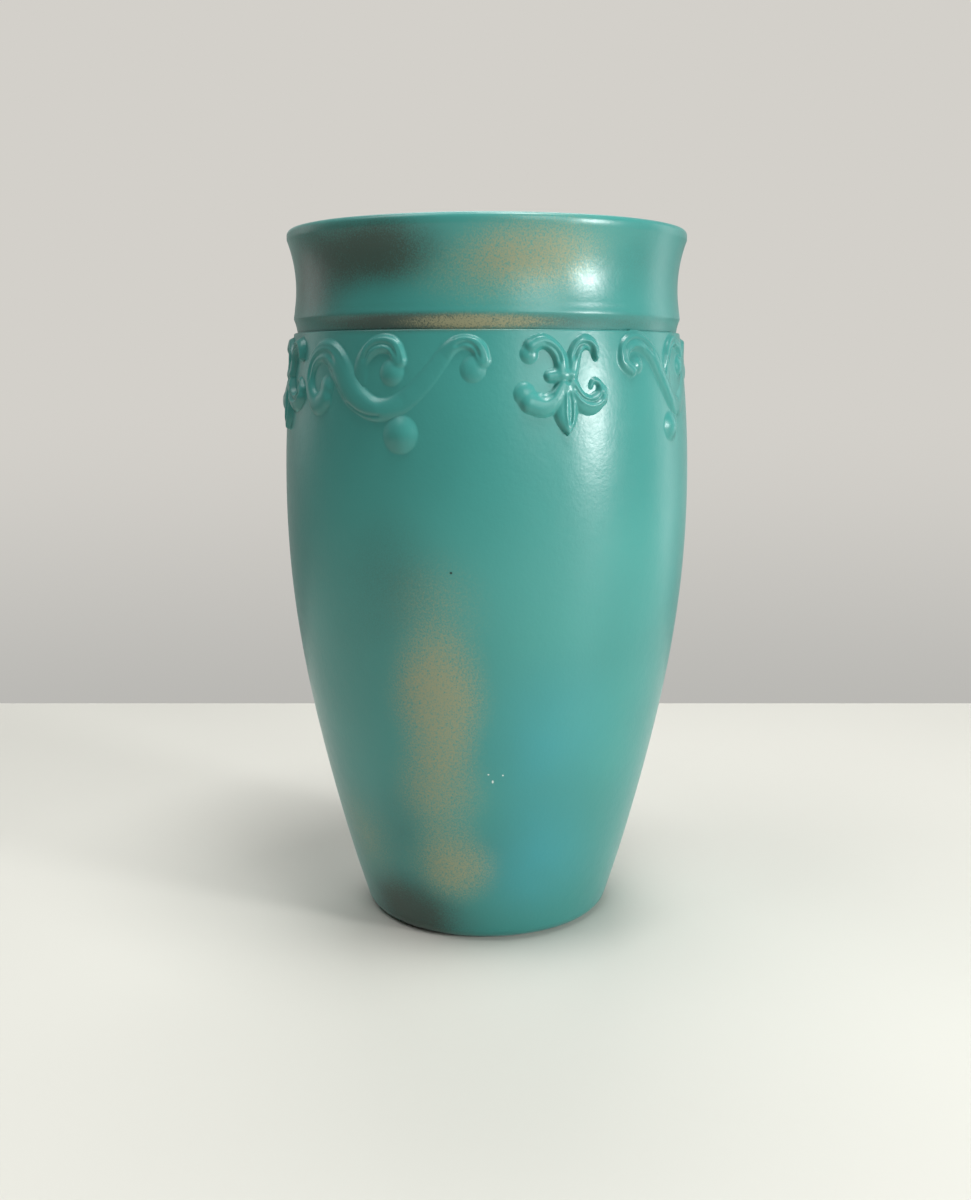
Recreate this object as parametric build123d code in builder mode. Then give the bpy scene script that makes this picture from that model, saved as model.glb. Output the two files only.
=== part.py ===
from build123d import *
import os
from math import cos, radians, sin

os.makedirs("parts", exist_ok=True)

# A tall vase: a body that swells from a narrow foot, a low waisted neck with a rounded
# lip, a bead ring seated under the neck, and a frieze of applied scrollwork sprigs.
# Millimetres, +Z up, origin at the middle of the foot. The front of the vase faces -Y.

# Driving dimensions of the body
foot_radius = 49.4            # the wall's radius where it would meet the table
belly_radius = 81.3           # the widest place
belly_height = 179.0
shoulder_radius = 76.4        # top of the body, where the neck is joined on
joint_height = 239.3
wall = 5.0
floor_thickness = 7.0
heel_round = 6.5              # outside corner between the wall and the foot
shoulder_round = 1.2
cavity_round = 9.0            # inside corner between the wall and the floor
foot_ring_width = 10.0        # flat ring that the vase stands on
foot_recess_depth = 2.0
foot_lean = 18.5              # degrees from upright, where the wall leaves the foot
shoulder_lean = 9.0           # degrees from upright, where the wall reaches the joint

# Driving dimensions of the neck
neck_height = 36.9            # from the joint to the top of the lip
waist_draw = 0.6              # how far the neck draws in from the bead ring's ledge to its waist
waist_rise = 15.5             # above the joint
lip_flare = 3.2               # how far the lip stands out past the waist
lip_depth = 3.6               # upright outside of the lip, up to its top
lip_thickness = 5.0
lip_outer_round = 2.0
lip_inner_round = 1.8

# Driving dimensions of the bead ring under the neck
bead_height = 7.2
bead_groove = 0.3             # open groove between the ring and the shoulder
bead_seat_depth = 1.0         # width of the ledge that covers the ring's top
bead_swell = 0.55             # how far the ring's fullest place stands past that ledge
bead_fullest_rise = 3.0       # above the ring's bottom
bead_foot_width = 0.5         # width of the ring's bottom edge

# Driving dimensions of the frieze
layout_radius = 80.7          # lengths along the frieze are arcs of this radius
frieze_drop = 19.3            # from the joint down to the middle line of the frieze
scroll_relief = 1.7
volute_relief = 1.9
fleur_relief = 2.2
drop_relief = 2.8
fleur_azimuths = (20.2, 109.0, 200.2, 289.0)      # degrees from the front towards +X
scroll_azimuths = (-28.4, 61.6, 151.6, 241.6)

core_turn = 40.0              # degrees that keep the turned cutting shapes' seam off the sprigs

overall_height = joint_height + neck_height
frieze_height = joint_height - frieze_drop
seat_radius = shoulder_radius - shoulder_round    # outside of the neck's root
ledge_radius = seat_radius + bead_seat_depth      # outside of the neck over the bead ring
waist_radius = ledge_radius - waist_draw
lip_radius = waist_radius + lip_flare

# Outlines of the frieze, laid flat. A station is (along, up, width): along runs round
# the vase from the sprig's azimuth, up is above the frieze's middle line, and width is
# the band's width there. A ball is (along, up, radius).
vine_end = [
    (4.0, -10.4, 7.5), (9.5, -8.0, 7.0), (15.0, -3.5, 6.5), (20.0, 2.0, 6.0), (24.4, 7.8, 5.5),
    (28.5, 11.7, 5.0), (33.0, 12.5, 4.8), (37.2, 10.2, 5.2), (38.6, 6.2, 5.0),
]
vine_end_ball = (35.0, 3.2, 4.3)
long_vine = [
    (-27.5, -7.2, 7.4), (-31.5, -9.3, 8.3), (-36.4, -6.5, 6.5), (-38.6, 0.0, 5.5), (-36.3, 6.5, 6.5),
    (-31.0, 9.6, 8.0), (-26.5, 9.3, 9.0), (-21.5, 6.0, 10.0), (-17.5, 1.0, 10.4),
    (-13.5, -4.0, 10.0), (-8.0, -8.2, 9.0), (-2.0, -10.7, 8.0),
] + vine_end
long_vine_ball = (-26.8, -3.2, 3.8)
short_vine = [
    (-28.3, 2.7, 4.4), (-32.1, 6.0, 5.0), (-30.9, 11.0, 6.0), (-26.0, 13.1, 6.8), (-20.0, 11.8, 7.0),
    (-14.9, 7.8, 7.0), (-11.2, 2.9, 7.0), (-7.0, -2.2, 6.8), (-2.6, -7.2, 6.8),
] + vine_end
short_vine_ball = (-25.4, 4.9, 3.2)
long_volute = [
    (-9.5, -1.0, 6.0), (-8.6, 5.5, 6.0), (-5.3, 10.0, 6.0), (-0.2, 12.1, 6.2), (5.0, 10.8, 6.2), (7.5, 6.2, 5.6),
]
long_volute_ball = (4.6, 2.2, 4.6)
short_volute = [
    (-4.6, -2.0, 5.4), (-3.6, 6.0, 5.2), (-0.6, 11.8, 5.0), (5.0, 14.0, 4.6), (10.4, 12.2, 4.8), (12.9, 8.2, 4.8),
]
short_volute_ball = (10.0, 4.6, 4.2)
long_drop = (8.6, -19.4, 6.3)
short_drop = (-3.2, -17.6, 5.4)

fleur_bands = [
    [(-1.0, 1.5, 5.0), (-1.7, 7.0, 5.3), (-4.2, 10.8, 5.0), (-8.9, 12.8, 5.2), (-12.2, 11.4, 5.6)],
    [(2.5, 1.5, 5.0), (3.8, 7.0, 5.3), (5.6, 11.0, 5.0), (8.9, 12.8, 5.2), (12.2, 11.0, 5.2)],
    [(-1.0, -2.0, 4.5), (-3.2, -5.8, 5.5), (-7.9, -9.2, 8.2), (-13.0, -8.4, 7.6)],
    [(2.6, -1.5, 5.0), (4.6, -6.5, 6.5), (9.9, -9.2, 7.0), (14.3, -6.8, 6.0)],
    [(0.6, -2.5, 3.0), (0.3, -8.0, 7.4), (0.0, -11.5, 9.2), (0.3, -15.0, 7.6), (0.5, -18.0, 3.6), (0.6, -19.4, 0.8)],
    [(-5.0, 1.3, 3.6), (1.5, 1.3, 3.6)],
]
fleur_balls = [(-13.2, 8.4, 3.4), (12.9, 7.8, 2.8), (-15.1, -5.2, 4.0), (15.2, -3.8, 2.8), (10.2, -2.0, 3.6)]


def wall_line(offset=0.0):
    """Outside of the body in the plane of radius and height, moved out by an offset."""
    rise = belly_radius - foot_radius
    return Spline(
        (foot_radius + offset, 0),
        (foot_radius + 0.47 * rise + offset, 0.294 * belly_height),
        (foot_radius + 0.79 * rise + offset, 0.559 * belly_height),
        (foot_radius + 0.95 * rise + offset, 0.77 * belly_height),
        (belly_radius + offset, belly_height),
        (shoulder_radius + offset, joint_height),
        tangents=(
            (sin(radians(foot_lean)), cos(radians(foot_lean))),
            (-sin(radians(shoulder_lean)), cos(radians(shoulder_lean))),
        ),
    )


def wall_radius_at(height):
    """Radius of the body's outside at a height."""
    with BuildLine(mode=Mode.PRIVATE) as outline:
        wall_line()
    level = Edge.make_line((0, height), (2 * belly_radius, height))
    return outline.edges()[0].find_intersection_points(level)[0].X


def outermost(corners, level):
    """The corner farthest from the axis, among the lowest (0) or the highest (-1) ones."""
    return corners.group_by(Axis.Y)[level].sort_by(Axis.X)[-1]


def flat(along, up):
    """Place on the frieze plane that lies straight behind a place on the curved wall."""
    return Vector(frieze_wall_radius * sin(along / layout_radius), up)


def ribbon(stations, mode=Mode.ADD):
    """Band of changing width along a smooth line through its stations, with round ends."""
    centres = [flat(along, up) for along, up, width in stations]
    left = []
    right = []
    for index, (along, up, width) in enumerate(stations):
        run = centres[min(index + 1, len(centres) - 1)] - centres[max(index - 1, 0)]
        side = Vector(-run.Y, run.X).normalized() * (width / 2)
        left.append(centres[index] + side)
        right.append(centres[index] - side)
    first_run = (centres[0] - centres[1]).normalized()
    last_run = (centres[-1] - centres[-2]).normalized()
    with BuildLine() as outline:
        Spline(*left)
        ThreePointArc(left[-1], centres[-1] + last_run * (stations[-1][2] / 2), right[-1])
        Spline(*reversed(right))
        ThreePointArc(right[0], centres[0] + first_run * (stations[0][2] / 2), left[0])
    make_face(outline.edges(), mode=mode)


def ball(place, mode=Mode.ADD):
    """Round end of a curl."""
    along, up, radius = place
    with Locations(flat(along, up)):
        Circle(radius, mode=mode)


def vine(stations, balls, mode=Mode.ADD):
    ribbon(stations, mode)
    for place in balls:
        ball(place, mode)


def label_and_write(piece, name):
    piece.part.label = name
    export_step(piece.part, f"parts/{name}.step")


# ---------------------------------------------------------------- body
with BuildPart() as vase_body:
    with BuildSketch(Plane.XZ):
        with BuildLine():
            outside = wall_line()
            Polyline(outside @ 1, (0, joint_height), (0, 0), outside @ 0)
        make_face()
        fillet(outermost(vertices(), 0), radius=heel_round)
        fillet(outermost(vertices(), -1), radius=shoulder_round)
    revolve(axis=Axis.Z)
    with BuildSketch(Plane.XZ):
        with BuildLine():
            inside = wall_line(-wall)
            Polyline(inside @ 1, (0, joint_height), (0, 0), inside @ 0)
        make_face()
        Rectangle(4 * belly_radius, 2 * floor_thickness, mode=Mode.SUBTRACT)
        fillet(outermost(vertices(), 0), radius=cavity_round)
    revolve(axis=Axis.Z, mode=Mode.SUBTRACT)
    contact_radius = faces().sort_by(Axis.Z)[0].edges().sort_by(SortBy.RADIUS)[-1].radius
    with BuildSketch(Plane.XY):
        Circle(contact_radius - foot_ring_width)
    extrude(amount=foot_recess_depth, mode=Mode.SUBTRACT)
label_and_write(vase_body, "vase_body")

# ---------------------------------------------------------------- neck and its bead ring
waist_height = joint_height + waist_rise
bead_top_height = joint_height + bead_groove + bead_height
bead_bottom_height = joint_height + bead_groove
lip_foot_height = overall_height - lip_depth

with BuildPart() as neck_collar:
    with BuildSketch(Plane.XZ):
        with BuildLine():
            outer_waist = ThreePointArc(
                (ledge_radius, bead_top_height),
                (waist_radius, waist_height),
                (lip_radius, lip_foot_height),
            )
            inner_waist = ThreePointArc(
                (shoulder_radius - wall, joint_height),
                (waist_radius - wall, waist_height),
                (lip_radius - lip_thickness, lip_foot_height),
            )
            Polyline(
                outer_waist @ 1,
                (lip_radius, overall_height),
                (lip_radius - lip_thickness, overall_height),
                inner_waist @ 1,
            )
            Polyline(
                outer_waist @ 0,
                (seat_radius, bead_top_height),
                (seat_radius, joint_height),
                inner_waist @ 0,
            )
        make_face()
        lip_corners = vertices().group_by(Axis.Y)[-1].sort_by(Axis.X)
        fillet(lip_corners[-1], radius=lip_outer_round)
        fillet(lip_corners[0], radius=lip_inner_round)
    revolve(axis=Axis.Z)
label_and_write(neck_collar, "neck_collar")

with BuildPart() as neck_bead:
    with BuildSketch(Plane.XZ):
        with BuildLine():
            swell = Spline(
                (ledge_radius, bead_top_height),
                (ledge_radius + bead_swell, bead_bottom_height + bead_fullest_rise),
                (seat_radius + bead_foot_width, bead_bottom_height),
            )
            Polyline(
                swell @ 0,
                (seat_radius, bead_top_height),
                (seat_radius, bead_bottom_height),
                swell @ 1,
            )
        make_face()
    revolve(axis=Axis.Z)
label_and_write(neck_bead, "neck_bead")

# ---------------------------------------------------------------- frieze
frieze_wall_radius = wall_radius_at(frieze_height)
frieze_plane = Plane(
    origin=(0, -frieze_wall_radius / 2, frieze_height),
    x_dir=(1, 0, 0),
    z_dir=(0, -1, 0),
)

def swollen_core(relief=0.0):
    """Solid of the body's outside shape, swollen by a relief."""
    with BuildPart() as swollen:
        with BuildSketch(Plane.XZ):
            with BuildLine():
                core_side = wall_line(relief)
                Polyline(core_side @ 1, (0, joint_height), (0, 0), core_side @ 0)
            make_face()
        revolve(axis=Axis.Z)
    return swollen.part.rotate(Axis.Z, core_turn)


core = swollen_core()
scroll_core = swollen_core(scroll_relief)
volute_core = swollen_core(volute_relief)
fleur_core = swollen_core(fleur_relief)
reach = frieze_wall_radius

# Each sprig is shaped at the front, then set at its azimuths. The long kind of scroll
# stands at the first and third places, and the short kind at the second and fourth.
scroll_kinds = [
    (long_vine, long_vine_ball, long_volute, long_volute_ball, long_drop),
    (short_vine, short_vine_ball, short_volute, short_volute_ball, short_drop),
]
for kind, (vine_line, curl_ball, volute_line, volute_ball, drop_place) in enumerate(scroll_kinds):
    with BuildPart() as vine_prism:
        with BuildSketch(frieze_plane):
            vine(vine_line, [curl_ball, vine_end_ball])
        extrude(amount=reach)

    with BuildPart() as scroll:
        add(vine_prism.part)
        add(scroll_core, mode=Mode.INTERSECT)
        add(core, mode=Mode.SUBTRACT)

    with BuildPart() as volute:
        with BuildSketch(frieze_plane):
            vine(volute_line, [volute_ball])
            vine(vine_line, [curl_ball, vine_end_ball], mode=Mode.SUBTRACT)
        extrude(amount=reach)
        add(volute_core, mode=Mode.INTERSECT)
        add(core, mode=Mode.SUBTRACT)

    drop_along, drop_up, drop_radius = drop_place
    drop_height = frieze_height + drop_up
    drop_azimuth = drop_along / layout_radius
    dome_radius = (drop_radius ** 2 + drop_relief ** 2) / (2 * drop_relief)
    dome_centre = wall_radius_at(drop_height) + drop_relief - dome_radius
    with BuildPart() as drop:
        with Locations((dome_centre * sin(drop_azimuth), -dome_centre * cos(drop_azimuth), drop_height)):
            Sphere(dome_radius)
        add(core, mode=Mode.SUBTRACT)
        add(vine_prism.part, mode=Mode.SUBTRACT)

    for number in (kind + 1, kind + 3):
        for pattern, name in ((scroll, "scroll"), (volute, "volute"), (drop, "drop")):
            with BuildPart() as sprig:
                add(pattern.part.rotate(Axis.Z, scroll_azimuths[number - 1]))
            label_and_write(sprig, f"{name}_{number}")

with BuildPart() as fleur_pattern:
    with BuildSketch(frieze_plane):
        for stations in fleur_bands:
            ribbon(stations)
        for place in fleur_balls:
            ball(place)
    extrude(amount=reach)
    add(fleur_core, mode=Mode.INTERSECT)
    add(core, mode=Mode.SUBTRACT)

for number, azimuth in enumerate(fleur_azimuths, start=1):
    with BuildPart() as fleur:
        add(fleur_pattern.part.rotate(Axis.Z, azimuth))
    label_and_write(fleur, f"fleur_{number}")
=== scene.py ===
from math import cos, hypot, pi, radians, sin, sqrt, tan

import bpy
import numpy as np
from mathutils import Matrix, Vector


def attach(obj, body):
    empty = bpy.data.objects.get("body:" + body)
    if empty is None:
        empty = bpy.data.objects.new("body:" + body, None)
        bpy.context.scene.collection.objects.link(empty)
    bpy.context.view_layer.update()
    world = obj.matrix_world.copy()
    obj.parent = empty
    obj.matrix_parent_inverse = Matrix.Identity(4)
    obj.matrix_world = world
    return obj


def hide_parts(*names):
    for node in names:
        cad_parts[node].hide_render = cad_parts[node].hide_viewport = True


# A tall painted vase: smooth turned body, neck and bead ring, and a frieze of modelled
# scrollwork sprigs. Lengths are millimetres until they become mesh vertices, +Z is up,
# the middle of the foot is the origin, and the front of the vase faces -Y.

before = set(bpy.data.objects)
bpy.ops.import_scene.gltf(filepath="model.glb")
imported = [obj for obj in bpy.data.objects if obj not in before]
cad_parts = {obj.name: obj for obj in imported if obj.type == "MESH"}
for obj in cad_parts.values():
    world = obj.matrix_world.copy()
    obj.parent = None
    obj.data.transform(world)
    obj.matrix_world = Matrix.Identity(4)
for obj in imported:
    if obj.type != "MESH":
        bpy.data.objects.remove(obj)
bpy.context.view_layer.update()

MM = 0.001

# Sizes that the CAD model is built from
foot_radius = 49.4
belly_radius = 81.3
belly_height = 179.0
shoulder_radius = 76.4
joint_height = 239.3
wall = 5.0
floor_thickness = 7.0
heel_round = 6.5
shoulder_round = 1.2
cavity_round = 9.0
foot_ring_width = 10.0
foot_recess_depth = 2.0
foot_lean = 18.5
shoulder_lean = 9.0
neck_height = 36.9
waist_draw = 0.6
waist_rise = 15.5
lip_flare = 3.2
lip_depth = 3.6
lip_thickness = 5.0
lip_outer_round = 2.0
lip_inner_round = 1.8
bead_height = 7.2
bead_seat_depth = 1.0
layout_radius = 80.7
frieze_drop = 19.3
fleur_azimuths = (20.2, 109.0, 200.2, 289.0)
scroll_azimuths = (-28.4, 61.6, 151.6, 241.6)

overall_height = joint_height + neck_height
frieze_height = joint_height - frieze_drop
seat_radius = shoulder_radius - shoulder_round
ledge_radius = seat_radius + bead_seat_depth
waist_radius = ledge_radius - waist_draw
lip_radius = waist_radius + lip_flare


# ---------------------------------------------------------------- curves
def clamped_spline(x, y, first_slope, last_slope):
    """Smooth cubic curve y(x) through the points, with these slopes at its ends."""
    x = np.array(x, float)
    y = np.array(y, float)
    count = len(x)
    step = np.diff(x)
    rise = np.diff(y) / step
    matrix = np.zeros((count, count))
    wanted = np.zeros(count)
    matrix[0, :2] = 2 * step[0], step[0]
    matrix[-1, -2:] = step[-1], 2 * step[-1]
    wanted[0] = 6 * (rise[0] - first_slope)
    wanted[-1] = 6 * (last_slope - rise[-1])
    for i in range(1, count - 1):
        matrix[i, i - 1 : i + 2] = step[i - 1], 2 * (step[i - 1] + step[i]), step[i]
        wanted[i] = 6 * (rise[i] - rise[i - 1])
    bend = np.linalg.solve(matrix, wanted)

    def curve(at):
        at = np.asarray(at, float)
        i = np.clip(np.searchsorted(x, at) - 1, 0, count - 2)
        before = (x[i + 1] - at) / step[i]
        after = (at - x[i]) / step[i]
        cubic = (before**3 - before) * bend[i] + (after**3 - after) * bend[i + 1]
        return before * y[i] + after * y[i + 1] + cubic * step[i] ** 2 / 6

    return curve


def arc(centre, radius, start, end, count=8):
    """Points of a circle's arc between two angles in degrees."""
    return [
        (centre[0] + radius * cos(radians(a)), centre[1] + radius * sin(radians(a)))
        for a in np.linspace(start, end, count)
    ]


def arc_through(a, b, c, count=40):
    """Points of the arc from a through b to c."""
    (ax, ay), (bx, by), (cx, cy) = a, b, c
    d = 2 * (ax * (by - cy) + bx * (cy - ay) + cx * (ay - by))
    la, lb, lc = (x * x + y * y for x, y in (a, b, c))
    ux = (la * (by - cy) + lb * (cy - ay) + lc * (ay - by)) / d
    uy = (la * (cx - bx) + lb * (ax - cx) + lc * (bx - ax)) / d
    radius = hypot(ax - ux, ay - uy)
    out = -1 if ux > bx else 1
    return [(ux + out * sqrt(radius**2 - (y - uy) ** 2), y) for y in np.linspace(ay, cy, count)]


body_swell = belly_radius - foot_radius
wall_radius = clamped_spline(
    [0, 0.294 * belly_height, 0.559 * belly_height, 0.77 * belly_height, belly_height, joint_height],
    [
        foot_radius,
        foot_radius + 0.47 * body_swell,
        foot_radius + 0.79 * body_swell,
        foot_radius + 0.95 * body_swell,
        belly_radius,
        shoulder_radius,
    ],
    tan(radians(foot_lean)),
    -tan(radians(shoulder_lean)),
)


# ---------------------------------------------------------------- turned pieces
def span(one, other):
    """Distance between the first two coordinates of two points."""
    return hypot(one[0] - other[0], one[1] - other[1])


def lathe(name, profile, segments):
    """Closed turned mesh. The profile runs anticlockwise in the plane of radius and height."""
    profile = [p for i, p in enumerate(profile) if span(p, profile[i - 1]) > 1e-4]
    turn = np.linspace(0, 2 * pi, segments, endpoint=False)
    vertices = []
    rings = []
    for radius, height in profile:
        start = len(vertices)
        if radius < 1e-6:
            vertices.append((0, 0, height))
            rings.append([start])
        else:
            vertices += [(radius * cos(t), radius * sin(t), height) for t in turn]
            rings.append(list(range(start, start + segments)))
    faces = []
    for lower, upper in zip(rings, rings[1:] + rings[:1]):
        if len(lower) == 1 and len(upper) == 1:
            continue
        for i in range(segments):
            j = (i + 1) % segments
            corners = [lower[i % len(lower)], lower[j % len(lower)]]
            corners += [upper[j % len(upper)], upper[i % len(upper)]]
            faces.append([c for k, c in enumerate(corners) if c != corners[k - 1]])
    return make_object(name, np.array(vertices) * MM, faces)


def make_object(name, vertices, faces, crease=40):
    """Smooth-shaded mesh object, sharp where its faces meet at more than the crease angle."""
    mesh = bpy.data.meshes.new(name)
    mesh.from_pydata([tuple(v) for v in vertices], [], faces)
    mesh.validate()
    mesh.update()
    mesh.shade_smooth()
    mesh.set_sharp_from_angle(angle=radians(crease))
    obj = bpy.data.objects.new(name, mesh)
    bpy.context.scene.collection.objects.link(obj)
    return obj


segments = 384

# Details of the turned pieces that the CAD model leaves out or draws more simply
shoulder_drop = 2.3                       # the ring's skirt hides this much of the shoulder
shoulder_edge_round = 0.6
cavity_corner_rise = 0.75                 # share of the round where the wall starts to turn in
cavity_corner_run = 0.9                   # and where it has become the floor
foot_ring_edge = 0.5                      # small bevel inside the foot ring
bead_lap = 0.2                            # how far inside the ring's seat the ring begins,
neck_lap = 0.1                            # and the neck,
body_rebate = 0.4                         # and the body's top
bead_clearance = 0.1                      # between the shoulder and the ring's lower edge
bead_top_gap = 0.3                        # the ring's top stands this much higher than its own height
bead_face_rises = (2.2, 3.0, 3.9, 5.2)    # heights of the ring's face above the joint, and
bead_face_swells = (0.22, 0.5, 0.5, 0.28)  # how far it stands out there
bead_foot_swell = 0.15
bead_foot_slope = 0.2
bead_top_slope = -0.154

heel_lean = radians(foot_lean)
heel_centre = foot_radius + heel_round * tan(heel_lean) - heel_round / cos(heel_lean)
heel_top = heel_round * (1 - sin(heel_lean))
ring_inside = heel_centre - foot_ring_width
shoulder_top = joint_height - shoulder_drop
shoulder_foot = shoulder_top - shoulder_edge_round
shoulder_centre = float(wall_radius(shoulder_foot)) - shoulder_edge_round
cavity_top = floor_thickness + cavity_round * cavity_corner_rise
cavity_side = float(wall_radius(cavity_top)) - wall

outside = [(float(wall_radius(z)), z) for z in np.linspace(heel_top, shoulder_foot, 90)]
inside = [(float(wall_radius(z)) - wall, z) for z in np.linspace(joint_height, cavity_top, 60)]
cavity_corner = []
corner_radius = cavity_side - cavity_round * cavity_corner_rise * tan(heel_lean)
floor_radius = corner_radius - cavity_round * cavity_corner_run
for t in np.linspace(0, 1, 12)[1:]:
    a, b, c = (1 - t) ** 2, 2 * t * (1 - t), t**2
    radius = a * cavity_side + b * corner_radius + c * floor_radius
    height = a * cavity_top + b * floor_thickness + c * floor_thickness
    cavity_corner.append((radius, height))

foot_recess = [
    (0, foot_recess_depth),
    (ring_inside - 0.6, foot_recess_depth),
    (ring_inside - 0.1, foot_recess_depth - 0.4),
    (ring_inside, foot_ring_edge),
    (ring_inside + foot_ring_edge, 0),
]
body_profile = (
    foot_recess
    + arc((heel_centre, heel_round), heel_round, -90, -foot_lean, 12)
    + outside
    + arc((shoulder_centre, shoulder_foot), shoulder_edge_round, 0, 90, 8)
    + [(seat_radius - body_rebate, shoulder_top), (seat_radius - body_rebate, joint_height)]
    + inside
    + cavity_corner
    + [(0, floor_thickness)]
)
vase_body = lathe("vase_body_turned", body_profile, segments)

waist_height = joint_height + waist_rise
bead_bottom = shoulder_top + bead_clearance
bead_top = joint_height + bead_top_gap + bead_height
lip_foot = overall_height - lip_depth
neck_outside = arc_through(
    (ledge_radius, bead_top),
    (waist_radius, waist_height),
    (lip_radius, lip_foot),
)
neck_inside = arc_through(
    (shoulder_radius - wall, joint_height),
    (waist_radius - wall, waist_height),
    (lip_radius - lip_thickness, lip_foot),
)
inner_round_centre = (lip_radius - lip_thickness + lip_inner_round, overall_height - lip_inner_round)
neck_profile = (
    [(seat_radius - neck_lap, joint_height), (seat_radius - neck_lap, bead_top)]
    + neck_outside
    + arc((lip_radius - lip_outer_round, overall_height - lip_outer_round), lip_outer_round, 0, 90, 10)
    + arc(inner_round_centre, lip_inner_round, 90, 180, 10)
    + neck_inside[::-1]
)
neck_collar = lathe("neck_collar_turned", neck_profile, segments)

bead_face_heights = [joint_height + rise for rise in bead_face_rises]
bead_face_radii = [ledge_radius + swell for swell in bead_face_swells]
bead_face = clamped_spline(
    [bead_bottom] + bead_face_heights + [bead_top],
    [seat_radius + bead_foot_swell] + bead_face_radii + [ledge_radius],
    bead_foot_slope,
    bead_top_slope,
)
bead_profile = (
    [(seat_radius - bead_lap, bead_bottom)]
    + [(float(bead_face(z)), z) for z in np.linspace(bead_bottom, bead_top, 48)]
    + [(seat_radius - bead_lap, bead_top)]
)
neck_bead = lathe("neck_bead_turned", bead_profile, segments)


# ---------------------------------------------------------------- frieze
# Outlines follow the CAD model, with some ends refined. A station is (along, up, width) and
# a ball is (along, up, radius), in millimetres from the middle of the sprig. A fourth number is the
# share of the relief there, and 1 is meant where there is none.
vine_end = [
    (4.0, -10.4, 7.5, 0.7), (9.5, -8.0, 7.0, 0.35), (15.0, -3.5, 6.5, 0.2), (20.0, 2.0, 6.0, 0.18),
    (24.4, 7.8, 5.5, 0.3), (28.5, 11.7, 5.0, 0.8), (33.0, 12.5, 4.8, 1.0), (37.2, 10.2, 5.2, 1.0),
    (38.6, 6.2, 5.0, 0.7),
]
vine_end_ball = (35.0, 3.2, 4.3, 0.6)
long_vine = [
    (-27.5, -7.2, 7.4), (-31.5, -9.3, 8.3), (-36.4, -6.5, 6.5), (-38.6, 0.0, 5.5), (-36.3, 6.5, 6.5),
    (-31.0, 9.6, 8.0), (-26.5, 9.3, 9.0), (-21.5, 6.0, 10.0), (-17.5, 1.0, 10.4),
    (-13.5, -4.0, 10.0), (-8.0, -8.2, 9.0), (-2.0, -10.7, 8.0),
] + vine_end
long_vine_ball = (-26.8, -3.2, 3.8, 0.8)
short_vine = [
    (-28.3, 2.7, 4.4), (-32.1, 6.0, 5.0), (-30.9, 11.0, 6.0), (-26.0, 13.1, 6.8), (-20.0, 11.8, 7.0),
    (-14.9, 7.8, 7.0), (-11.2, 2.9, 7.0), (-7.0, -2.2, 6.8), (-2.6, -7.2, 6.8),
] + vine_end
short_vine_ball = (-25.4, 4.9, 3.2)
long_volute = [
    (-9.5, -1.0, 6.0, 0.1), (-8.6, 5.5, 6.0, 0.55), (-5.3, 10.0, 6.0, 0.9), (-0.2, 12.1, 6.2, 1.0),
    (5.0, 10.8, 6.2, 1.0), (7.5, 6.2, 5.6, 0.8),
]
long_volute_ball = (4.6, 2.2, 4.6, 0.85)
short_volute = [
    (-4.6, -2.0, 5.4, 0.1), (-3.6, 6.0, 5.2, 0.7), (-0.6, 11.8, 5.0, 1.0), (5.0, 14.0, 4.6, 1.0),
    (10.4, 12.2, 4.8, 1.0), (12.9, 8.2, 4.8, 0.9),
]
short_volute_ball = (10.0, 4.6, 4.2)
long_drop = (8.6, -19.4, 6.3)
short_drop = (-3.2, -17.6, 5.4)
fleur_bands = [
    [(-1.0, 1.5, 5.0), (-1.7, 7.0, 5.3), (-4.2, 10.8, 5.0), (-8.9, 12.8, 5.2), (-12.2, 11.4, 5.6)],
    [(2.5, 1.5, 5.0), (3.8, 7.0, 5.3), (5.6, 11.0, 5.0), (8.9, 12.8, 5.2), (12.0, 11.0, 4.6),
     (12.9, 7.4, 2.6)],
    [(-1.0, -2.0, 4.5), (-3.2, -5.8, 5.5), (-7.9, -9.2, 8.2), (-13.0, -8.4, 7.6)],
    [(2.6, -1.5, 5.0), (4.6, -6.5, 6.5), (9.9, -9.2, 7.0), (14.3, -6.8, 6.0)],
    [(0.6, -2.5, 3.0), (0.3, -8.0, 7.4), (0.0, -11.5, 9.2), (0.3, -15.0, 7.6), (0.5, -18.0, 3.6),
     (0.6, -19.4, 0.8)],
    [(-5.6, 0.8, 4.6, 0.7), (-1.0, 1.3, 5.4), (2.5, 1.5, 3.6)],
    [(14.6, -4.6, 3.0, 0.9), (13.6, -1.4, 2.4, 0.6), (11.2, -0.8, 2.0, 0.5), (10.2, -2.8, 1.8, 0.3)],
]
fleur_balls = [(-13.2, 8.4, 3.4, 0.6), (-15.1, -5.2, 4.0, 0.65), (15.0, -4.4, 2.4, 0.8)]

scroll_relief = 1.6
volute_relief = 1.7
fleur_relief = 2.1
drop_relief = 2.0

relief_step = 0.28      # grid of the modelled relief
relief_margin = 3.0
sink = 1.6                                # how deep a sprig is set into the body's wall
outside_fall = 1.1                        # slope of the relief beyond its outline
join_softness = 0.35                      # how far joins between bands and balls are blended
scroll_softness = 0.32                    # how far the edges of the sprigs run out into the wall
fleur_softness = 0.16
drop_softness = 0.4
skirt = 3.2                               # the mesh ends this many softnesses below the wall
smoothing = 0.3                           # blur of the relief
buried = 0.04                             # the last of a sprig's edge lies this far in the wall


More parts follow.
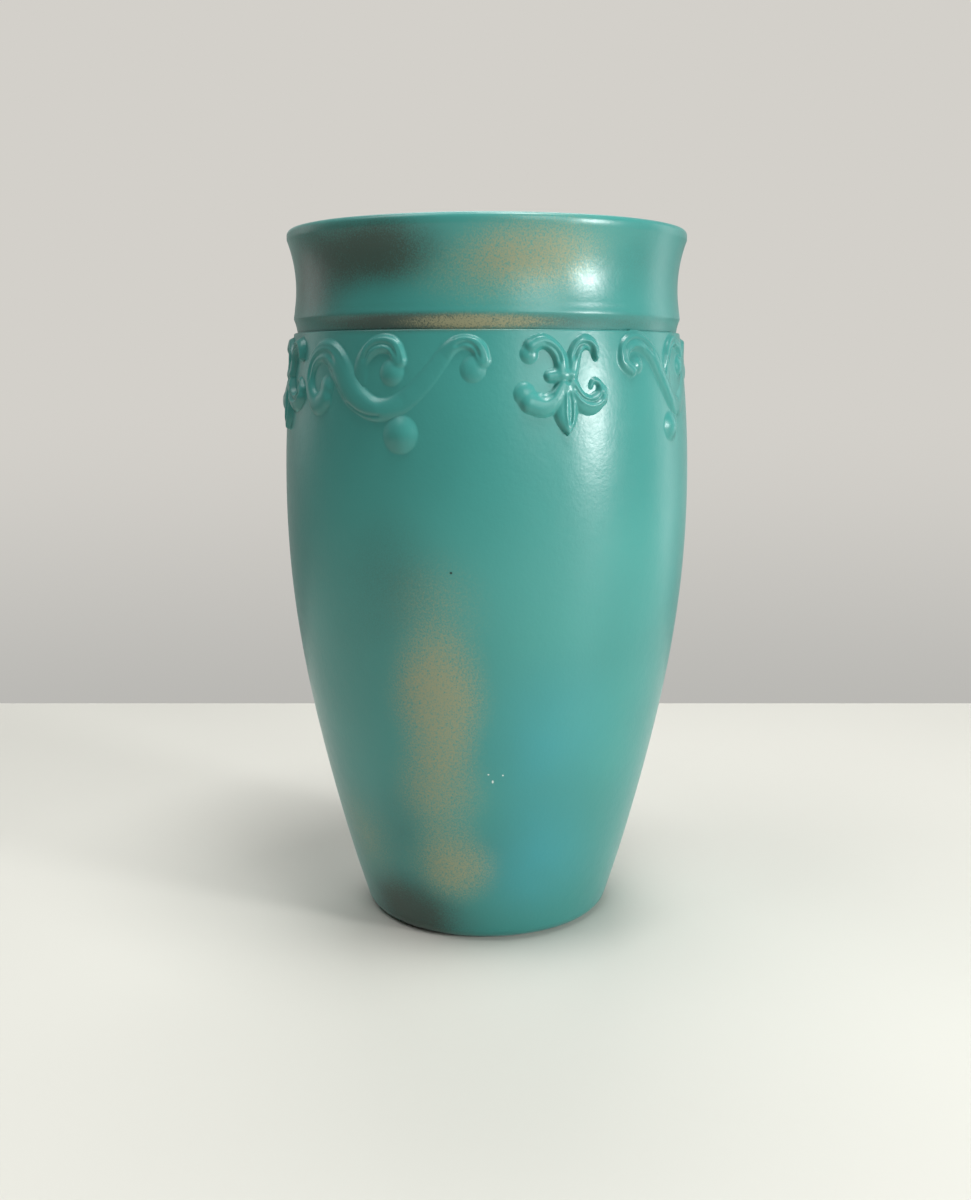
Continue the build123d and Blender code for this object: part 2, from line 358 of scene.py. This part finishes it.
def smooth_line(stations, spacing=0.25):
    """Closely spaced points of a smooth line through the stations, with every column smoothed."""
    stations = np.array(stations, float)
    run = np.concatenate([[0], np.cumsum(np.hypot(*np.diff(stations[:, :2], axis=0).T))])
    at = np.linspace(0, run[-1], max(8, int(run[-1] / spacing)))
    columns = []
    for column in stations.T:
        slopes = np.gradient(column, run)
        columns.append(clamped_spline(run, column, slopes[0], slopes[-1])(at))
    return np.array(columns).T


def across(stations, along, up):
    """Signed distance from a band's centre line, its half-width there, and how far along it.

    The distance is positive on the left.
    """
    line = smooth_line(stations)
    heading = np.gradient(line[:, :2], axis=0)
    heading /= np.hypot(heading[:, 0], heading[:, 1])[:, None]
    nearest = np.full(along.shape, 1e9)
    index = np.zeros(along.shape, int)
    for i, (x, y, *_) in enumerate(line):
        square = (along - x) ** 2 + (up - y) ** 2
        closer = square < nearest
        nearest[closer] = square[closer]
        index[closer] = i
    offset_x = along - line[index, 0]
    offset_y = up - line[index, 1]
    side = np.sign(heading[index, 0] * offset_y - heading[index, 1] * offset_x)
    return side * np.sqrt(nearest), line[index, 2] / 2, index / (len(line) - 1)


def crown(share, flatness=2.6):
    """Rounded cross-section: 1 in the middle, 0 at the edge, flatter on top than a circle."""
    return np.clip(1 - np.clip(share, 0, 1) ** flatness, 0, 1) ** 0.8


def band_height(stations, relief, along, up):
    """Height of a band; its stations may carry their own share of the relief in a fourth column."""
    shares = np.array([s[3] if len(s) > 3 else 1.0 for s in stations])
    signed, half, travel = across([s[:3] for s in stations], along, up)
    steps = [span(a, b) for a, b in zip(stations, stations[1:])]
    run = np.concatenate([[0], np.cumsum(steps)])
    relief = relief * np.interp(travel * run[-1], run, shares)
    share = np.abs(signed) / half
    return np.where(share < 1, relief * crown(share), -outside_fall * (share - 1) * half)


def ball_height(place, relief, along, up):
    """Height of a round ball; its place may carry its own share of the relief as a fourth number."""
    x, y, radius, part = (*place, 1.0)[:4]
    away = np.hypot(along - x, up - y)
    share = away / radius
    return np.where(share < 1, part * relief * crown(share, 2.0), -outside_fall * (away - radius))


def tool_line(height, stations, rise, along, up):
    """A narrow ridge (rise above 0) or groove (below 0) that follows a line on the relief."""
    signed, half, travel = across(stations, along, up)
    share = np.clip(np.abs(signed) / half, 0, 1)
    ends = np.clip(np.minimum(travel, 1 - travel) * 7, 0, 1)
    return height + rise * ends * (1 - share**2) ** 2 * np.clip(height / 0.6, 0, 1)


def blur(grid, sigma):
    """Gaussian blur of a grid, sigma in cells."""
    reach = max(1, int(3 * sigma))
    weights = np.exp(-0.5 * (np.arange(-reach, reach + 1) / sigma) ** 2)
    weights /= weights.sum()
    for axis in (0, 1):
        padded = np.pad(grid, [(reach, reach) if a == axis else (0, 0) for a in (0, 1)], mode="edge")
        size = grid.shape[axis]
        grid = sum(w * np.take(padded, range(k, k + size), axis=axis) for k, w in enumerate(weights))
    return grid


def fillet(height, softness):
    """The relief's edge runs out softly into the wall."""
    return softness * np.logaddexp(0, height / softness) - buried


def joined(one, other):
    """The higher of two heights, blended where they are alike."""
    return join_softness * np.logaddexp(one / join_softness, other / join_softness)


def sprig(name, bands, balls, relief, lines, azimuth, softness):
    """One applied sprig as a closed mesh set into the body's wall."""
    every = [s[:3] for stations in bands for s in stations] + [(x, y, 2 * r) for x, y, r, *_ in balls]
    low_x = min(x - w / 2 for x, y, w in every) - relief_margin
    high_x = max(x + w / 2 for x, y, w in every) + relief_margin
    low_y = min(y - w / 2 for x, y, w in every) - relief_margin
    high_y = max(y + w / 2 for x, y, w in every) + relief_margin
    xs = np.arange(low_x, high_x, relief_step)
    ys = np.arange(low_y, high_y, relief_step)
    along, up = np.meshgrid(xs, ys, indexing="ij")
    height = np.full(along.shape, -10.0)
    for stations in bands:
        height = joined(height, band_height(stations, relief, along, up))
    for place in balls:
        height = joined(height, ball_height(place, relief, along, up))
    for stations, rise in lines:
        height = tool_line(height, stations, rise, along, up)
    height = blur(height, smoothing / relief_step)
    return relief_mesh(name, along, up, fillet(height, softness), height > -skirt * softness, azimuth)


def relief_mesh(name, along, up, top, keep_point, azimuth):
    """Closed mesh of a height grid wrapped round the body, from its kept points down into the wall."""
    keep_cell = keep_point[:-1, :-1] & keep_point[1:, :-1] & keep_point[1:, 1:] & keep_point[:-1, 1:]
    used = np.zeros(along.shape, bool)
    used[:-1, :-1] |= keep_cell
    used[1:, :-1] |= keep_cell
    used[1:, 1:] |= keep_cell
    used[:-1, 1:] |= keep_cell
    number = np.full(along.shape, -1)
    number[used] = np.arange(used.sum())
    z = frieze_height + up[used]
    turn = radians(azimuth) + along[used] / layout_radius
    base = wall_radius(z)
    outer = np.stack([(base + top[used]) * np.sin(turn), -(base + top[used]) * np.cos(turn), z], axis=1)
    inner = np.stack([(base - sink) * np.sin(turn), -(base - sink) * np.cos(turn), z], axis=1)
    count = len(outer)
    i, j = np.nonzero(keep_cell)
    quads = np.stack([number[i, j], number[i + 1, j], number[i + 1, j + 1], number[i, j + 1]], axis=1)
    faces = [tuple(q) for q in quads.tolist()]
    faces += [tuple(q) for q in (quads[:, ::-1] + count).tolist()]
    edges = np.concatenate([quads[:, [k, (k + 1) % 4]] for k in range(4)])
    seen = set(map(tuple, edges.tolist()))
    for a, b in edges.tolist():
        if (b, a) not in seen:
            faces.append((b, a, a + count, b + count))
    return make_object(name, np.concatenate([outer, inner]) * MM, faces, crease=60)


# Tooling on the sprigs: (along, up, width) lines with a rise, below 0 for a groove
fleur_lines = [
    ([(1.0, 6.0, 1.6), (1.9, 8.5, 1.8), (3.6, 11.2, 1.8), (6.5, 13.3, 1.8), (9.3, 13.2, 1.8),
      (11.8, 11.4, 1.6), (12.8, 8.6, 1.4)], 0.55),
    ([(2.8, 6.0, 1.5), (4.0, 9.0, 1.7), (6.4, 11.7, 1.7), (9.2, 11.8, 1.7), (11.0, 9.8, 1.5),
      (12.0, 7.0, 1.2)], -0.95),
    ([(3.9, 6.0, 1.3), (5.0, 8.4, 1.5), (7.0, 10.2, 1.5), (9.2, 10.2, 1.5), (10.8, 8.2, 1.3),
      (11.8, 5.4, 1.2)], 0.5),
    ([(-1.0, 5.0, 1.4), (-1.3, 8.8, 1.6), (-3.8, 12.2, 1.6), (-8.6, 14.6, 1.6),
      (-12.6, 13.4, 1.4)], 0.35),
    ([(-2.0, 4.6, 1.3), (-2.8, 8.0, 1.6), (-5.0, 10.8, 1.6), (-8.8, 12.4, 1.4)], -0.5),
    ([(2.8, -0.6, 1.4), (4.5, -4.0, 1.6), (7.5, -6.3, 1.6), (10.6, -6.6, 1.6), (13.2, -5.0, 1.5),
      (14.2, -2.0, 1.2)], 0.6),
    ([(3.0, -2.6, 1.3), (4.8, -5.4, 1.5), (7.6, -7.5, 1.5), (10.7, -7.9, 1.5), (13.6, -6.4, 1.4),
      (14.9, -3.6, 1.2)], -0.9),
    ([(2.8, -4.0, 1.4), (4.6, -6.8, 1.6), (7.6, -8.9, 1.6), (10.8, -9.3, 1.6), (13.8, -8.0, 1.5),
      (15.6, -5.0, 1.2)], 0.5),
    ([(-4.2, -5.0, 1.8), (-8.0, -6.6, 2.4), (-11.6, -5.2, 2.0)], -0.5),
    ([(0.9, -4.0, 1.2), (1.3, -8.0, 1.7), (1.4, -12.0, 1.7), (0.9, -16.5, 1.2)], -0.8),
    ([(-0.1, -4.0, 1.1), (-0.3, -8.0, 1.4), (-0.4, -12.0, 1.4), (0.2, -17.0, 1.1)], 0.5),
    ([(2.6, -6.5, 1.1), (2.9, -10.0, 1.4), (2.3, -14.0, 1.3), (1.2, -17.5, 1.0)], 0.45),
]
crescent_lines = [
    ([(27.0, 12.6, 1.6), (30.5, 14.2, 1.9), (34.2, 14.2, 2.0), (38.0, 12.2, 2.0), (40.2, 8.4, 1.8),
      (40.3, 5.2, 1.4)], 0.45),
    ([(28.0, 10.8, 1.8), (32.5, 12.3, 2.2), (36.0, 10.2, 2.2), (37.6, 6.6, 1.8)], -0.6),
]
long_vine_lines = [
    ([(-39.6, -5.0, 1.8), (-40.6, 0.5, 2.0), (-38.4, 7.8, 2.4), (-31.6, 12.4, 2.6),
      (-25.0, 12.4, 2.6), (-19.0, 9.2, 2.4), (-14.0, 3.4, 2.0)], 0.5),
    ([(-38.2, -2.0, 1.8), (-36.6, 4.8, 2.4), (-31.0, 8.8, 3.0), (-26.0, 8.8, 3.2),
      (-21.0, 5.2, 2.8)], -0.6),
    ([(-16.0, -9.2, 1.1), (-10.6, -12.4, 1.3), (-4.4, -14.2, 1.3), (1.6, -14.4, 1.0)], 0.4),
    ([(-15.6, -7.9, 1.3), (-10.2, -11.1, 1.5), (-4.2, -12.8, 1.5), (1.6, -13.1, 1.1)], -0.8),
] + crescent_lines
long_volute_lines = [
    ([(-9.6, 6.0, 1.6), (-6.4, 12.0, 2.0), (-0.4, 14.4, 2.2), (6.4, 12.6, 2.2), (9.4, 7.0, 2.0),
      (9.2, 3.0, 1.6)], 0.45),
    ([(-8.0, 5.0, 1.8), (-5.0, 10.0, 2.2), (-0.4, 12.0, 2.4), (4.4, 10.8, 2.2),
      (6.8, 7.0, 1.8)], -0.7),
]
short_vine_lines = [
    ([(-34.0, 5.0, 1.5), (-33.2, 12.0, 1.6), (-27.0, 15.6, 1.8), (-19.4, 14.4, 1.8),
      (-13.4, 9.8, 1.8), (-8.6, 2.8, 1.6)], 0.5),
    ([(-32.4, 5.2, 1.4), (-31.4, 11.0, 1.6), (-26.4, 13.8, 1.8), (-20.0, 12.4, 1.8),
      (-14.8, 8.2, 1.8)], -0.8),
    ([(-30.6, 6.0, 1.3), (-29.4, 9.6, 1.4), (-25.8, 11.6, 1.5), (-20.4, 10.2, 1.5)], 0.5),
] + crescent_lines
short_volute_lines = [
    ([(-5.8, 4.0, 1.4), (-3.0, 12.0, 1.6), (4.4, 16.0, 1.6), (11.6, 14.0, 1.6),
      (14.8, 8.6, 1.5)], 0.45),
    ([(-3.8, 4.0, 1.4), (-1.0, 11.0, 1.6), (5.0, 13.8, 1.6), (10.2, 12.0, 1.6)], -0.7),
]


def drop_mesh(name, place, azimuth):
    """A low round drop that runs out into the wall."""
    x, y, radius = place
    reach = radius + relief_margin
    xs = np.arange(x - reach, x + reach, relief_step)
    ys = np.arange(y - reach, y + reach, relief_step)
    along, up = np.meshgrid(xs, ys, indexing="ij")
    share = np.hypot(along - x, up - y) / radius
    dome = drop_relief * crown(share, 2.0) ** 1.15
    height = np.where(share < 1, dome, -outside_fall * (share - 1) * radius)
    keep_point = height > -skirt * drop_softness
    return relief_mesh(name, along, up, fillet(height, drop_softness), keep_point, azimuth)


relief_pieces = []


def add_piece(made, node):
    """Note which CAD node a piece of relief replaces."""
    relief_pieces.append((made, node))


long_kind = (
    (long_vine, long_vine_ball, long_vine_lines),
    (long_volute, long_volute_ball, long_volute_lines),
    long_drop,
)
short_kind = (
    (short_vine, short_vine_ball, short_vine_lines),
    (short_volute, short_volute_ball, short_volute_lines),
    short_drop,
)
for number, azimuth in enumerate(scroll_azimuths, start=1):
    scroll, volute, drop = long_kind if number % 2 else short_kind
    band, ball, lines = scroll
    name = f"scroll_{number}_relief"
    balls = [ball, vine_end_ball]
    made = sprig(name, [band], balls, scroll_relief, lines, azimuth, scroll_softness)
    add_piece(made, f"scroll_{number}")
    band, ball, lines = volute
    name = f"volute_{number}_relief"
    made = sprig(name, [band], [ball], volute_relief, lines, azimuth, scroll_softness)
    add_piece(made, f"volute_{number}")
    add_piece(drop_mesh(f"drop_{number}_relief", drop, azimuth), f"drop_{number}")
for number, azimuth in enumerate(fleur_azimuths, start=1):
    name = f"fleur_{number}_relief"
    made = sprig(name, fleur_bands, fleur_balls, fleur_relief, fleur_lines, azimuth, fleur_softness)
    add_piece(made, f"fleur_{number}")


# ---------------------------------------------------------------- paint
def srgb(red, green, blue):
    """Linear colour from 0-255 screen values."""

    def linear(value):
        value /= 255
        return value / 12.92 if value <= 0.04045 else ((value + 0.055) / 1.055) ** 2.4

    return (linear(red), linear(green), linear(blue), 1)


class Nodes:
    """Short calls that add nodes to one material or world."""

    def __init__(self, material):
        material.use_nodes = True
        self.tree = material.node_tree
        self.tree.nodes.clear()

    def add(self, kind, **settings):
        node = self.tree.nodes.new(kind)
        for key, value in settings.items():
            setattr(node, key, value)
        return node

    def feed(self, socket, value):
        if isinstance(value, bpy.types.NodeSocket):
            self.tree.links.new(value, socket)
        else:
            socket.default_value = value

    def math(self, operation, a, b):
        node = self.add("ShaderNodeMath", operation=operation)
        self.feed(node.inputs[0], a)
        self.feed(node.inputs[1], b)
        return node.outputs[0]

    def mix(self, share, a, b):
        node = self.add("ShaderNodeMix", data_type="RGBA")
        self.feed(node.inputs["Factor"], share)
        self.feed(node.inputs[6], a)
        self.feed(node.inputs[7], b)
        return node.outputs[2]

    def noise(self, place, scale, detail=2.0, roughness=0.5):
        node = self.add("ShaderNodeTexNoise")
        self.feed(node.inputs["Vector"], place)
        self.feed(node.inputs["Scale"], scale)
        self.feed(node.inputs["Detail"], detail)
        self.feed(node.inputs["Roughness"], roughness)
        return node.outputs["Fac"]

    def ramp(self, value, low, high):
        """Smooth rise from 0 at the low value to 1 at the high value."""
        node = self.add("ShaderNodeMapRange", interpolation_type="SMOOTHSTEP")
        self.feed(node.inputs["Value"], value)
        self.feed(node.inputs["From Min"], low)
        self.feed(node.inputs["From Max"], high)
        return node.outputs["Result"]

    def patch(self, place, centre, reach):
        """1 at a place on the vase, falling to 0 at a distance; centre and reach in millimetres."""
        offset = self.add("ShaderNodeVectorMath", operation="SUBTRACT")
        self.feed(offset.inputs[0], place)
        offset.inputs[1].default_value = [c * MM for c in centre]
        scaled = self.add("ShaderNodeVectorMath", operation="DIVIDE")
        self.feed(scaled.inputs[0], offset.outputs[0])
        scaled.inputs[1].default_value = [r * MM for r in reach]
        length = self.add("ShaderNodeVectorMath", operation="LENGTH")
        self.feed(length.inputs[0], scaled.outputs[0])
        return self.ramp(length.outputs["Value"], 1.0, 0.0)


turquoise = srgb(63, 146, 139)
deep_teal = srgb(52, 130, 124)
lake_blue = srgb(52, 148, 158)
gold = srgb(153, 152, 118)
# Dark bronze overspray; the same colour also paints shade where the vase is in shadow.
dark_bronze_and_shade = srgb(54, 66, 56)

white_speck = srgb(225, 230, 225)
dark_speck = srgb(20, 40, 36)

# Scales of the noises, which count per metre, and how strongly each works
cloud_scale = 9.0
ragged_scale = 45.0
ragged_strength = 0.6
bronze_and_shade_grain_scale = 1800.0
bronze_and_shade_grain_contrast = 1.5
bronze_and_shade_cover = 0.88
gold_grain_scale = 1600.0
gold_grain_contrast = 3.6
gold_cover = 0.85
blue_cover = 0.9
full_spray = 1.1                          # amount of spray that covers fully

fine_bump_scale = 900.0
fine_bump_share = 0.35
peel_scale = 220.0
peel_share = 0.65
bump_strength = 0.36
bump_distance = 0.0003
least_roughness = 0.26
peel_roughness = 0.1
gold_metallic = 0.15
sheen_weight = 0.16
sheen_roughness = 0.3

# Sprayed patches, and patches of painted shade: centre and reach in millimetres, strength
GOLD_PATCHES = [
    ((-18, -73, 104), (27, 40, 36), 1.0),
    ((-18, -78, 138), (30, 40, 36), 0.34),
    ((-18, -66, 68), (26, 40, 34), 0.75),
    ((-13, -58, 34), (25, 40, 25), 0.85),
    ((20, -74, 266), (42, 40, 18), 0.55),
    ((6, -72, 256), (50, 40, 20), 0.5),
    ((-4, -76, 239.4), (42, 30, 4.2), 1.2),
    ((-50, -36, 40), (28, 40, 36), 0.4),
]
# Dark bronze overspray, partly painted shade: under the neck's flare, on the ring's lower face, the
# contact shadow beside the foot and the darker left side of the body.
BRONZE_AND_SHADE_PATCHES = [
    # The neck's left: bronze overspray, darkened further as painted shade under the flare.
    ((-38, -66, 264), (38, 46, 19), 1.15),
    ((-66, -40, 258), (34, 46, 32), 1.0),
    ((-36, -66, 239.5), (50, 40, 5.5), 1.2),
    ((0, -76, 239.5), (50, 40, 5.5), 0.8),
    # Painted contact shadow beside the foot and low on the left, with some bronze.
    ((-30, -42, 8), (38, 40, 28), 1.2),
    ((-34, -56, 50), (22, 40, 36), 0.3),
    # Painted shade down the left side of the body.
    ((-44, -60, 130), (44, 40, 60), 0.22),
    ((-30, -72, 152), (30, 40, 40), 0.3),
    # Painted shade on the ring's downward-facing lower face at the right.
    ((50, -56, 239.5), (60, 60, 5.5), 0.45),
    ((54, -54, 262), (30, 50, 24), 0.3),
]
WHITE_SPECKS = [
    ((0.6, -69, 74.6), (0.5, 4, 0.4), 1.6),
    ((2.2, -69, 71.6), (0.5, 4, 0.9), 1.6),
    ((6.0, -69, 74.2), (0.45, 4, 0.45), 1.6),
]
DARK_SPECKS = [
    ((-12.7, -79.7, 152.1), (0.7, 4, 0.7), 1.6),
]
BLUE_PATCHES = [
    ((18, -50, 36), (40, 50, 42), 0.55),
    ((22, -66, 88), (44, 50, 56), 0.5),
]


def paint(name):
    """Satin turquoise paint with sprayed gold and bronze, and painted shade in the bronze's dark
    colour, placed on the vase by position.
    """
    material = bpy.data.materials.new(name)
    n = Nodes(material)
    place = n.add("ShaderNodeTexCoord").outputs["Object"]
    clouds = n.ramp(n.noise(place, cloud_scale), 0.35, 0.7)

    def amount(patches):
        """Sum of the patches at a place, with ragged edges."""
        total = 0.0
        for centre, reach, strength in patches:
            total = n.math("ADD", n.math("MULTIPLY", n.patch(place, centre, reach), strength), total)
        ragged = n.math("SUBTRACT", n.noise(place, ragged_scale), 0.5)
        ragged = n.math("MULTIPLY", ragged, ragged_strength)
        return n.math("MULTIPLY", total, n.math("ADD", ragged, 1.0))

    def sprayed(share, scale, contrast, cover):
        """Fine droplets: the share of paint, dithered by a fine grain."""
        grain = n.math("SUBTRACT", n.noise(place, scale, 2.0, 0.7), 0.5)
        grain = n.math("ADD", n.math("MULTIPLY", grain, contrast), 1.0)
        return n.math("MULTIPLY", n.ramp(n.math("MULTIPLY", share, grain), 0.0, full_spray), cover)

    def specks(patches):
        return n.math("MINIMUM", amount(patches), 1.0)

    blue_share = n.math("MULTIPLY", n.ramp(amount(BLUE_PATCHES), 0.0, 1.0), blue_cover)
    # Bronze overspray and painted shade share this mask and this dark colour.
    bronze_and_shade = amount(BRONZE_AND_SHADE_PATCHES)
    bronze_and_shade_share = sprayed(bronze_and_shade, bronze_and_shade_grain_scale, bronze_and_shade_grain_contrast, bronze_and_shade_cover)
    gold_share = sprayed(amount(GOLD_PATCHES), gold_grain_scale, gold_grain_contrast, gold_cover)
    colour = n.mix(clouds, turquoise, deep_teal)
    colour = n.mix(blue_share, colour, lake_blue)
    colour = n.mix(bronze_and_shade_share, colour, dark_bronze_and_shade)
    colour = n.mix(gold_share, colour, gold)
    colour = n.mix(specks(WHITE_SPECKS), colour, white_speck)
    colour = n.mix(specks(DARK_SPECKS), colour, dark_speck)

    peel = n.noise(place, peel_scale)
    fine_bump = n.math("MULTIPLY", n.noise(place, fine_bump_scale), fine_bump_share)
    bump = n.add("ShaderNodeBump")
    bump.inputs["Strength"].default_value = bump_strength
    bump.inputs["Distance"].default_value = bump_distance
    n.feed(bump.inputs["Height"], n.math("ADD", fine_bump, n.math("MULTIPLY", peel, peel_share)))

    shader = n.add("ShaderNodeBsdfPrincipled")
    roughness = n.math("ADD", least_roughness, n.math("MULTIPLY", peel, peel_roughness))
    n.feed(shader.inputs["Base Color"], colour)
    n.feed(shader.inputs["Roughness"], roughness)
    n.feed(shader.inputs["Metallic"], n.math("MULTIPLY", gold_share, gold_metallic))
    n.feed(shader.inputs["Normal"], bump.outputs["Normal"])
    shader.inputs["Sheen Weight"].default_value = sheen_weight
    shader.inputs["Sheen Roughness"].default_value = sheen_roughness
    output = n.add("ShaderNodeOutputMaterial")
    n.feed(output.inputs["Surface"], shader.outputs["BSDF"])
    return material


body_paint = paint("body_paint_turquoise")
neck_paint = paint("neck_paint_turquoise")
bead_paint = paint("bead_paint_gold")
frieze_paint = paint("frieze_paint_turquoise")

painted_pieces = [
    (vase_body, "vase_body", "body_paint", body_paint),
    (neck_collar, "neck_collar", "neck_paint", neck_paint),
    (neck_bead, "neck_bead", "bead_paint", bead_paint),
]
painted_pieces += [(piece, node, "frieze_paint", frieze_paint) for piece, node in relief_pieces]
for piece, node, slot, material in painted_pieces:
    piece.data.materials.append(material)
    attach(piece, "root")
    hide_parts(node)


# ---------------------------------------------------------------- studio
def matte(name, colour, roughness):
    """A plain surface, very slightly clouded."""
    material = bpy.data.materials.new(name)
    n = Nodes(material)
    place = n.add("ShaderNodeTexCoord").outputs["Object"]
    clouds = n.ramp(n.noise(place, 3.0), 0.3, 0.7)
    darker = [c * 0.97 for c in colour[:3]] + [1]
    shader = n.add("ShaderNodeBsdfPrincipled")
    n.feed(shader.inputs["Base Color"], n.mix(clouds, colour, darker))
    shader.inputs["Roughness"].default_value = roughness
    output = n.add("ShaderNodeOutputMaterial")
    n.feed(output.inputs["Surface"], shader.outputs["BSDF"])
    return material


table_side = 1.6
table_front = -1.2
table_back = 0.325                        # its far edge is where the pale wall begins
table = make_object(
    "floor",
    [
        (-table_side, table_front, 0),
        (table_side, table_front, 0),
        (table_side, table_back, 0),
        (-table_side, table_back, 0),
    ],
    [(0, 1, 2, 3)],
)
table.data.materials.append(matte("table_pale", srgb(211, 210, 202), 0.6))

# The world is a pale wall that the camera sees, and glossy paint reflects at part strength. It lights
# nothing else: the lamps do that.
wall_low = srgb(182, 181, 177)
wall_high = srgb(211, 208, 202)
wall_in_gloss = 0.5
world = bpy.data.worlds.new("studio")
bpy.context.scene.world = world
w = Nodes(world)
split = w.add("ShaderNodeSeparateXYZ")
w.feed(split.inputs[0], w.add("ShaderNodeTexCoord").outputs["Generated"])
wall_shade = w.mix(w.ramp(split.outputs["Z"], -0.3, -0.02), wall_low, wall_high)
background = w.add("ShaderNodeBackground")
w.feed(background.inputs["Color"], wall_shade)
rays = w.add("ShaderNodeLightPath")
in_gloss = w.math("MULTIPLY", rays.outputs["Is Glossy Ray"], wall_in_gloss)
w.feed(background.inputs["Strength"], w.math("MAXIMUM", rays.outputs["Is Camera Ray"], in_gloss))
w.feed(w.add("ShaderNodeOutputWorld").inputs["Surface"], background.outputs["Background"])
bpy.context.scene.view_settings.view_transform = "Standard"

lamp_aim = np.array((0, 0, 0.16))


def area_light(name, azimuth, elevation, reach, width, height, power):
    """Soft light in a direction from the vase: azimuth in degrees from the front towards +X."""
    data = bpy.data.lights.new(name, "AREA")
    data.shape = "RECTANGLE"
    data.size = width
    data.size_y = height
    data.energy = power
    light = bpy.data.objects.new(name, data)
    a = radians(azimuth)
    e = radians(elevation)
    offset = np.array([sin(a) * cos(e), -cos(a) * cos(e), sin(e)]) * reach
    light.location = offset + lamp_aim
    light.rotation_mode = "QUATERNION"
    light.rotation_quaternion = Vector(-offset / reach).to_track_quat("-Z", "Y")
    bpy.context.scene.collection.objects.link(light)


area_light("overhead", 45, 77, 1.6, 0.6, 0.6, 19)
area_light("left_top", -70, 62, 1.6, 0.9, 0.9, 9.5)
area_light("front", 30, 20, 1.6, 0.7, 0.7, 6.6)
area_light("side_lamp", 59, 8.5, 1.3, 0.2, 0.2, 10.4)
area_light("left_rim", -120, 12, 1.6, 0.7, 0.7, 1.0)
area_light("right_rim", 118, 4, 1.6, 0.5, 1.2, 2.9)
area_light("back", 180, 55, 1.6, 0.9, 0.9, 9.0)

camera_data = bpy.data.cameras.new("camera")
camera_data.lens = 39.45
camera_data.sensor_width = 36
camera_data.shift_x = -0.0011
camera = bpy.data.objects.new("camera", camera_data)
camera.location = (0, -0.5401, 0.2236)
camera.rotation_euler = (radians(80), 0, 0)
bpy.context.scene.collection.objects.link(camera)
bpy.context.scene.camera = camera
